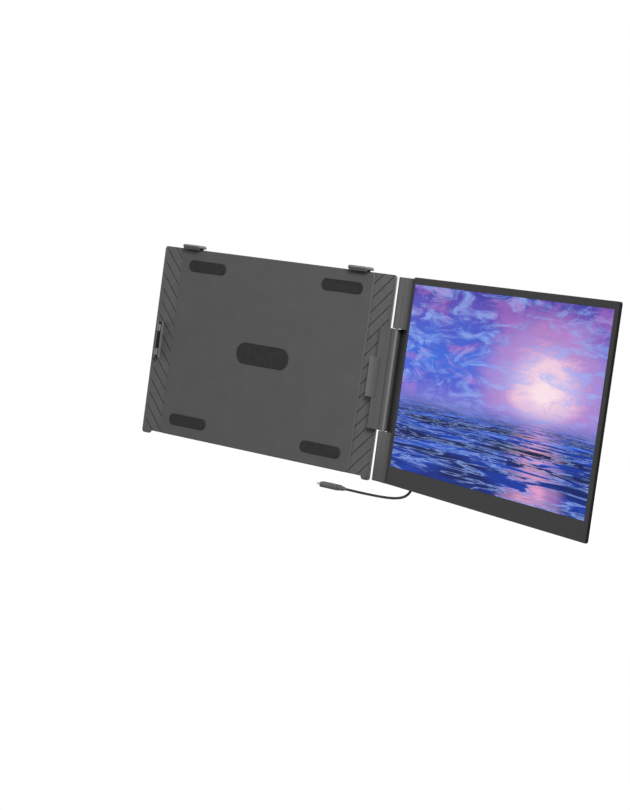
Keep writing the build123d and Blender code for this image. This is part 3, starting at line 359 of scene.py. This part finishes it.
# bright drawn steel, dark and even black oxide on the screws, brighter nickel on the sockets
steelLook = {"dark": "#8d8e90", "light": "#adaeb0", "streak": 0.5, "stretch": (1, 1, 0.1), "shine": 0.32}
screwLook = {"dark": "#2a2a2c", "light": "#3c3c3f", "streak": 0.4, "stretch": (1, 1, 1), "shine": 0.4}
nickelLook = {"dark": "#a4a5a6", "light": "#c4c5c6", "streak": 0.4, "stretch": (1, 1, 0.15),
              "shine": 0.22}
dress(workedMetal("drawnSteel", steelLook),
      "brake_springs", "kickstand_pin", "friction_cartridges", "hinge_shafts", "hinge_leaves")
dress(workedMetal("blackOxideSteel", screwLook),
      "bracket_screws", "left_arm_screws", "right_arm_screws", "screen_screws")
dress(workedMetal("nickelPlatedSteel", nickelLook), "usb_c_port", "spare_usb_c_port", "mini_hdmi_port")


# fields in millimetres, with a lighter trace around each
board = {"field": 3.2, "shine": 0.35, "stops": [(0.42, "#123524"), (0.46, "#1c5a3a"), (0.52, "#123524")]}


def solderMask(name):
    # glass-fibre board under green lacquer, with traces a third of a millimetre wide
    material, tree, shader, where = startMaterial(name)
    cells = addNode(tree, "TexVoronoi", {
        "distance": "CHEBYCHEV", "Scale": 1 / (board["field"] * mm), "Vector": where})
    colour = addNode(tree, "ValToRGB", {"Fac": cells, "stops": board["stops"]})
    setNode(tree, shader, {"Base Color": colour, "Roughness": board["shine"]})
    return material


# what the plain polymers share, the cloud in millimetres
polymer = {"cloud": 12.0, "detail": 3.0, "darkAt": 0.35, "lightAt": 0.7}


def castPolymer(name, look):
    # plain polymer sheet or block, faintly clouded
    material, tree, shader, where = startMaterial(name)
    cloud = addNode(tree, "TexNoise", {
        "Scale": 1 / (polymer["cloud"] * mm), "Detail": polymer["detail"], "Vector": where})
    colour = addNode(tree, "ValToRGB", {
        "Fac": cloud, "stops": [(polymer["darkAt"], look["dark"]), (polymer["lightAt"], look["light"])]})
    setNode(tree, shader, {"Base Color": colour, "Roughness": look["shine"]})
    return material


# the panel's dark film, and the white diffuser behind it
filmLook = {"dark": "#1a1b1e", "light": "#22242a", "shine": 0.3}
diffuserLook = {"dark": "#cfcfcb", "light": "#deded9", "shine": 0.5}
dress(solderMask("lacqueredBoard"), "driver_board")
dress(castPolymer("panelFilm", filmLook), "lcd_panel", "button_switches")
dress(castPolymer("diffuserSheet", diffuserLook), "backlight")


display = {
    # the lit area, in millimetres along the screen from the hinge axis and up from its middle height
    "left": 29.7, "width": 371.0, "bottom": -97.9, "height": 209.0, "strength": 1.0,
    "skin": "#020203", "shine": 0.3, "ior": 1.45, "gloss": 0.08,
    # shares of the picture's width and height
    "glowAt": (0.74, 0.56), "glowHeight": 1.5, "horizon": 0.40,
    # cloud sizes in millimetres
    "clouds": {"size": 69.67, "stretch": (0.8, 1.9, 1), "offset": (3.1, 1.7, 0), "rough": 0.62,
               "warp": 0.6},
    "wisps": {"size": 41.8, "stretch": (0.7, 2.4, 1), "offset": (7.4, 4.1, 0), "rough": 0.68,
              "warp": 0.9},
    "cloudDetail": 8.0, "skySway": 0.55, "glowSway": 0.22, "mistSway": 0.10,
    "skyStops": [(0.38, "#7468cc"), (0.50, "#4f5ccc"), (0.62, "#3868d8"), (0.78, "#4a56c4"),
                 (0.92, "#5c4cb4"), (1.0, "#353aa4")],
    "glowStops": [(0.0, 1.0), (0.10, 0.85), (0.22, 0.4), (0.38, 0.0)],
    "glowColour": "#e79ccb", "coreColour": "#fdeef0", "coreAmount": 0.8, "corePower": 3.0,
    "wispStops": [(0.47, 0.0), (0.60, 0.75), (0.72, 1.0)], "wispColour": "#9ab6f6", "wispAmount": 0.8,
    "pinkStops": [(0.52, 0.0), (0.64, 1.0)], "pinkColour": "#c07ccc", "pinkAmount": 0.45,
    # the water's waves, noise on a plane that recedes as 1 / depth
    "swell": {"Scale": 0.8, "Detail": 5.0, "Roughness": 0.55, "Distortion": 0.4},
    "ripple": {"Scale": 2.1, "Detail": 8.0, "Roughness": 0.62, "Distortion": 0.9},
    "waveWidth": 0.55, "waveDepth": 1.5, "shore": 0.07, "leastDepth": 0.02,
    "waterStops": [(0.32, "#020a2c"), (0.46, "#051a60"), (0.57, "#0d3aa6"), (0.68, "#2c68dc")],
    "crestAt": 0.52, "crestSlope": 2.0, "crestColour": "#8fadf2",
    "crestStops": [(0.90, 0.0), (0.965, 0.3), (1.0, 0.85)],
    "pathSpread": 0.12, "pathColour": "#f0a9cf", "pathStops": [(0.0, 0.8), (0.06, 0.4), (0.14, 0.0)],
    "glintStops": [(0.47, 0.0), (0.60, 1.0)],
    "shoreWidth": 0.05, "mistColour": "#7f83de", "mistAmount": 0.4, "mistBelow": 0.08, "mistAbove": 0.11,
}


def swayed(tree, base, noise, amount):
    # base moved by the noise, by up to half the amount either way
    centred = addNode(tree, "Math", {"operation": "SUBTRACT", 0: noise, 1: 0.5})
    return addNode(tree, "Math", {"operation": "MULTIPLY_ADD", 0: centred, 1: amount, 2: base})


def layered(tree, colour, layers):
    # colours laid over the first, each by its own amount
    for amount, over in layers:
        colour = addNode(tree, "Mix", {"data_type": "RGBA", 0: amount, 6: colour, 7: over})
    return colour


def skyPicture(tree, s, t, clouds, wisps):
    # blue at the top, violet below, warmed by a glow at one side and broken by cloud bands;
    # the glow falls off with the distance from its middle
    glowX, glowY = display["glowAt"]
    squash = display["glowHeight"] * display["height"] / display["width"]
    fromGlow = addNode(tree, "CombineXYZ", {
        0: addNode(tree, "Math", {"operation": "SUBTRACT", 0: s, 1: glowX}),
        1: addNode(tree, "Math", {"operation": "MULTIPLY_ADD", 0: t, 1: squash, 2: -glowY * squash})})
    distance = addNode(tree, "VectorMath", {"operation": "LENGTH", 0: fromGlow})
    level = swayed(tree, t, clouds, display["skySway"])
    sky = addNode(tree, "ValToRGB", {"Fac": level, "stops": display["skyStops"]})
    glow = addNode(tree, "ValToRGB", {
        "Fac": swayed(tree, distance, wisps, display["glowSway"]), "stops": display["glowStops"],
        "curve": "EASE"})
    sharp = addNode(tree, "Math", {"operation": "POWER", 0: glow, 1: display["corePower"]})
    bands = addNode(tree, "ValToRGB", {"Fac": wisps, "stops": display["wispStops"]})
    banks = addNode(tree, "ValToRGB", {"Fac": clouds, "stops": display["pinkStops"]})
    core, band, bank = (
        addNode(tree, "Math", {"operation": "MULTIPLY", 0: shape, 1: amount})
        for shape, amount in ((sharp, display["coreAmount"]), (bands, display["wispAmount"]),
                              (banks, display["pinkAmount"])))
    return layered(tree, sky, [(glow, display["glowColour"]), (core, display["coreColour"]),
                               (band, display["wispColour"]), (bank, display["pinkColour"])])


def waterPicture(tree, s, t):
    # dark blue swell with lit crests and a path of light, whose waves narrow towards the horizon as
    # 1 / depth, where depth is how far below the horizon a point lies
    near = addNode(tree, "Math", {"operation": "SUBTRACT", 0: display["horizon"], 1: t})
    below = addNode(tree, "Math", {"operation": "ADD", 0: near, 1: display["shore"]})
    depth = addNode(tree, "Math", {"operation": "MAXIMUM", 0: below, 1: display["leastDepth"]})
    fromGlow = addNode(tree, "Math", {"operation": "SUBTRACT", 0: s, 1: display["glowAt"][0]})
    wide = addNode(tree, "Math", {"operation": "MULTIPLY", 0: fromGlow, 1: display["waveWidth"]})
    rolled = addNode(tree, "CombineXYZ", {
        0: addNode(tree, "Math", {"operation": "DIVIDE", 0: wide, 1: depth}),
        1: addNode(tree, "Math", {"operation": "DIVIDE", 0: display["waveDepth"], 1: depth})})
    swell, ripple = (addNode(tree, "TexNoise", dict(display[wave], Vector=rolled))
                     for wave in ("swell", "ripple"))
    water = addNode(tree, "ValToRGB", {"Fac": swell, "stops": display["waterStops"]})
    # a crest is where the ripple crosses its middle: 1 - |slope * (ripple - middle)|
    slope = addNode(tree, "Math", {
        "operation": "MULTIPLY_ADD", 0: ripple, 1: display["crestSlope"],
        2: -display["crestSlope"] * display["crestAt"]})
    steep = addNode(tree, "Math", {"operation": "ABSOLUTE", 0: slope})
    crest = addNode(tree, "ValToRGB", {
        "Fac": addNode(tree, "Math", {"operation": "SUBTRACT", 0: 1.0, 1: steep}),
        "stops": display["crestStops"]})
    side = addNode(tree, "Math", {"operation": "ABSOLUTE", 0: fromGlow})
    spread = addNode(tree, "Math", {
        "operation": "MULTIPLY_ADD", 0: near, 1: -display["pathSpread"], 2: side})
    path = addNode(tree, "ValToRGB", {"Fac": spread, "stops": display["pathStops"], "curve": "EASE"})
    glint = addNode(tree, "ValToRGB", {"Fac": ripple, "stops": display["glintStops"]})
    lit = addNode(tree, "Math", {"operation": "MULTIPLY", 0: path, 1: glint})
    return layered(tree, water, [(crest, display["crestColour"]), (lit, display["pathColour"])])


def litDisplay(name):
    # matte-coated glass over a lit LCD, whose coating takes most of the reflection away: an evening sky
    # over rolling water, made of noise bands
    material, tree, shader, where = startMaterial(name)
    turned = addNode(tree, "Mapping", {"Rotation": (0, 0, hinge["turn"]), "Vector": where})
    split = addNode(tree, "SeparateXYZ", {0: turned})
    left = (hinge["x"] * cosTurn - hinge["y"] * sinTurn) / mm + display["left"]
    # s and t run from 0 to 1 across and up the picture
    s, t = (
        addNode(tree, "Math", {
            "operation": "MULTIPLY_ADD", 0: split.outputs[axis], 1: 1 / (size * mm), 2: -start / size})
        for axis, start, size in (("X", left, display["width"]),
                                  ("Z", display["bottom"], display["height"])))
    wideS = addNode(tree, "Math", {
        "operation": "MULTIPLY", 0: s, 1: display["width"] / display["height"]})
    flat = addNode(tree, "CombineXYZ", {0: wideS, 1: t})
    clouds, wisps = (
        addNode(tree, "TexNoise", {
            "Scale": display["height"] / look["size"], "Detail": display["cloudDetail"],
            "Roughness": look["rough"], "Distortion": look["warp"],
            "Vector": addNode(tree, "Mapping", {
                "Scale": look["stretch"], "Location": look["offset"], "Vector": flat})})
        for look in (display["clouds"], display["wisps"]))
    # the two meet in a mist along the horizon
    edge = swayed(tree, t, wisps, display["mistSway"])
    horizon = display["horizon"]
    aboveWater = addNode(tree, "MapRange", {
        "interpolation_type": "SMOOTHSTEP", "Value": edge,
        "From Min": horizon - display["shoreWidth"], "From Max": horizon + display["shoreWidth"]})
    mist = addNode(tree, "ValToRGB", {
        "Fac": edge, "curve": "EASE",
        "stops": [(horizon - display["mistBelow"], 0.0), (horizon, display["mistAmount"]),
                  (horizon + display["mistAbove"], 0.0)]})
    picture = layered(tree, waterPicture(tree, s, t), [
        (aboveWater, skyPicture(tree, s, t, clouds, wisps)), (mist, display["mistColour"])])
    setNode(tree, shader, {
        "Base Color": display["skin"], "Roughness": display["shine"], "IOR": display["ior"],
        "Specular IOR Level": display["gloss"], "Emission Strength": display["strength"],
        "Emission Color": picture})
    return material


dress(litDisplay("antiGlareGlassLit"), "display_glass")
print("materials set")


# six-lobed driver recesses on the screw heads, near-black discs of painted shade for their depth:
# r = radius + lobe * cos(6 * angle), dished in the middle
recess = {
    "radius": 0.95, "lobe": 0.16, "proud": 0.03, "dish": 0.02, "rings": 5, "sides": 48,
    "dark": "#060606", "light": "#0b0b0b", "shine": 0.7,
    "bracket": [(x, 9.3, z) for x in (-108.0, 108.0) for z in (-92.0, -34.0, 34.0, 92.0)],
    "left_arm": [(-181.4, 5.2, z) for z in (-18.3, 15.7)],
    "right_arm": [(185.5, 8.3, z) for z in (-52.8, -18.73, 15.33, 49.4)],
    "screen": [(63.3, 10.6, -66.4), (63.3, 10.6, 47.6), (175.3, 10.6, -66.4), (175.3, 10.6, 47.6),
               (41.3, 6.9, -106.9), (41.3, 6.9, 105.1)],
}
recessShade = castPolymer("recessShadow", recess)
share, angle = np.meshgrid(np.linspace(0, 1, recess["rings"]),
                           np.linspace(0, 2 * np.pi, recess["sides"], endpoint=False), indexing="ij")
reach = share * (recess["radius"] + recess["lobe"] * np.cos(6 * angle))
lift = recess["proud"] - recess["dish"] * (1 - share ** 2)
# each face joins two neighbours on a ring to the same two on the next ring out
ringStart = np.arange(recess["rings"] - 1)[:, None] * recess["sides"]
step = np.arange(recess["sides"])[None, :]
nextStep = (step + 1) % recess["sides"]
quads = np.stack([ringStart + step, ringStart + nextStep,
                  ringStart + recess["sides"] + nextStep, ringStart + recess["sides"] + step], axis=-1)
quads = quads.reshape(-1, 4)

for body in ("bracket", "left_arm", "right_arm", "screen"):
    points, faces = [], []
    for place in recess[body]:
        if body == "screen":
            centre, across, out = onScreen(*place), alongScreen, -toUser
        else:
            centre, across, out = np.array(place) * mm, acrossBracket, behindBracket
        flat = (reach * np.cos(angle))[..., None] * across + (reach * np.sin(angle))[..., None] * upward
        faces.append(quads[:, ::-1] + len(points) * reach.size)
        points.append((centre + mm * (flat + lift[..., None] * out)).reshape(-1, 3))
    recessMesh = bpy.data.meshes.new(body + "_recesses")
    recessMesh.from_pydata(np.concatenate(points).tolist(), [], np.concatenate(faces).tolist())
    recessMesh.materials.append(recessShade)
    recessObject = bpy.data.objects.new(body + "_recesses", recessMesh)
    scene.collection.objects.link(recessObject)
    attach(recessObject, body)
print("screw recesses made")


# the lead: its length in metres, as it is declared, and the rest in millimetres
cord = {
    "radius": 1.5, "exitAt": (69.3, 6.8, -105.4), "firstRun": 9.0, "lastRun": 7.0,
    "length": 0.1010, "sides": 8, "steps": 16,
}
cordTail = onScreen(*cord["exitAt"])
cordOffsets = np.array([
    (0, 0, 0),
    (0, 0, -cord["firstRun"]),
    (-2.2, -0.3, -17.0),
    (-8.6, -1.1, -23.0),
    (-19.0, -3.0, -26.3),
    (-32.0, -5.6, -27.5),
    (-48.0, -9.0, -27.6),
    (-64.0, -12.0, -27.4),
    (-75.5, -14.0, -27.0),
    (-75.5 - cord["lastRun"], -14.0, -27.0),
])
cordRoute = cordTail + cordOffsets * mm

cordCurve = bpy.data.curves.new("usb_lead", "CURVE")
cordCurve.dimensions = "3D"
cordCurve.bevel_depth = cord["radius"] * mm
cordCurve.bevel_resolution = cord["sides"]
cordCurve.resolution_u = cord["steps"]
cordCurve.use_fill_caps = True
cordLine = cordCurve.splines.new("NURBS")
cordLine.points.add(len(cordRoute) - 1)
cordLine.points.foreach_set("co", np.column_stack([cordRoute, np.ones(len(cordRoute))]).ravel())
cordLine.order_u = 3
cordLine.use_endpoint_u = True
usbLead = bpy.data.objects.new("usb_lead", cordCurve)
scene.collection.objects.link(usbLead)
cordCurve.materials.append(cordRubber)
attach(usbLead, "screen")
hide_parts("usb_cord")
print("lead laid")


camera = {
    "at": (1.628279, -1.785595, 0.096048),
    "right": (0.74656123, 0.65149984, 0.13488617),
    "down": (0.1416878, 0.04240093, -0.9890029),
    "forward": (-0.65005453, 0.75746295, -0.06065469),
    "focalPixels": 1973.89, "longSidePixels": 810, "sensor": 36.0, "clipEnd": 30.0,
}
cameraData = bpy.data.cameras.new("camera")
cameraData.sensor_fit = "AUTO"
cameraData.sensor_width = camera["sensor"]
cameraData.lens = camera["focalPixels"] / camera["longSidePixels"] * camera["sensor"]
cameraData.clip_end = camera["clipEnd"]
cameraObject = bpy.data.objects.new("camera", cameraData)
scene.collection.objects.link(cameraObject)
axes = Matrix((Vector(camera["right"]), -Vector(camera["down"]), -Vector(camera["forward"])))
placed = axes.transposed().to_4x4()
placed.translation = Vector(camera["at"])
cameraObject.matrix_world = placed
scene.camera = cameraObject


def backgroundRays(tree):
    # 1 for rays from the camera, through glass and off shiny skins, which see the white background
    path = addNode(tree, "LightPath", {})
    straight = addNode(tree, "Math", {
        "operation": "MAXIMUM", 0: path.outputs["Is Camera Ray"], 1: path.outputs["Is Transmission Ray"]})
    return addNode(tree, "Math", {"operation": "MAXIMUM", 0: path.outputs["Is Glossy Ray"], 1: straight})


# z and fibre in millimetres, the rest in metres; lift is how much of the white shows under the object
floor = {
    "z": -135.7, "half": 6.0, "stops": [(0.3, "#f2f2f2"), (0.7, "#f4f4f4")], "bounce": "#6c6c6c",
    "fibre": 25.0, "detail": 3.0, "lift": 0.86, "middle": (0.15, -0.05), "near": 0.55, "far": 1.0,
}


def paleFloor(name):
    # matte paper sweep: nearly white where the eye sees it, with a soft shadow, and a dull bounce
    material, tree, shader, where = startMaterial(name)
    seen = backgroundRays(tree)
    fibre = addNode(tree, "TexNoise", {
        "Scale": 1 / (floor["fibre"] * mm), "Detail": floor["detail"], "Vector": where})
    tone = addNode(tree, "ValToRGB", {"Fac": fibre, "stops": floor["stops"]})
    paperColour = addNode(tree, "Mix", {"data_type": "RGBA", 0: seen, 6: floor["bounce"], 7: tone})
    setNode(tree, shader, {"Base Color": paperColour, "Roughness": 1.0, "Specular IOR Level": 0.0})
    away = addNode(tree, "VectorMath", {
        "operation": "DISTANCE", 0: where, 1: (*floor["middle"], floor["z"] * mm)})
    fade = addNode(tree, "MapRange", {
        "interpolation_type": "SMOOTHSTEP", "Value": away, "From Min": floor["near"],
        "From Max": floor["far"], "To Min": floor["lift"], "To Max": 1.0})
    share = addNode(tree, "Math", {"operation": "MULTIPLY", 0: seen, 1: fade})
    white = addNode(tree, "Emission", {"Color": (1, 1, 1, 1), "Strength": 1.0})
    mixed = addNode(tree, "MixShader", {0: share, 1: shader, 2: white})
    tree.links.new(mixed.outputs[0], tree.nodes["Material Output"].inputs["Surface"])
    return material


halfFloor, floorZ = floor["half"], floor["z"] * mm
floorMesh = bpy.data.meshes.new("floor")
floorMesh.from_pydata(
    [(-halfFloor, -halfFloor, floorZ), (halfFloor, -halfFloor, floorZ),
     (halfFloor, halfFloor, floorZ), (-halfFloor, halfFloor, floorZ)],
    [], [(0, 1, 2, 3)])
floorObject = bpy.data.objects.new("floor", floorMesh)
scene.collection.objects.link(floorObject)
floorMesh.materials.append(paleFloor("paperSweep"))

# the strength of the sky as light, and as the white background
sky = {"soft": 0.14, "white": 1.0}
world = bpy.data.worlds.new("studio")
scene.world = world
world.use_nodes = True
worldTree = world.node_tree
worldTree.nodes.clear()
softSky, whiteSky = (addNode(worldTree, "Background", {"Color": (1, 1, 1, 1), "Strength": sky[part]})
                     for part in ("soft", "white"))
mixedSky = addNode(worldTree, "MixShader", {0: backgroundRays(worldTree), 1: softSky, 2: whiteSky})
addNode(worldTree, "OutputWorld", {"Surface": mixedSky})

lamps = {
    "key": {"at": (2.15, -2.02, 1.31), "size": 1.1, "power": 200.0},
    "top": {"at": (0.1, -0.1, 2.4), "size": 1.8, "power": 54.0},
    "fill": {"at": (-1.8, -1.6, 1.2), "size": 1.6, "power": 3.0},
    "back": {"at": (1.0, 2.5, 0.9), "size": 2.2, "power": 125.0},
}
lampAim = Vector((0.15, 0.0, 0.0))
for lampName, lamp in lamps.items():
    lampData = bpy.data.lights.new(lampName, "AREA")
    lampData.energy = lamp["power"]
    lampData.size = lamp["size"]
    lampObject = bpy.data.objects.new(lampName, lampData)
    scene.collection.objects.link(lampObject)
    lampObject.location = lamp["at"]
    lampObject.rotation_euler = (lampAim - Vector(lamp["at"])).to_track_quat("-Z", "Y").to_euler()
scene.view_settings.view_transform = "Standard"
print("camera, light and floor set")
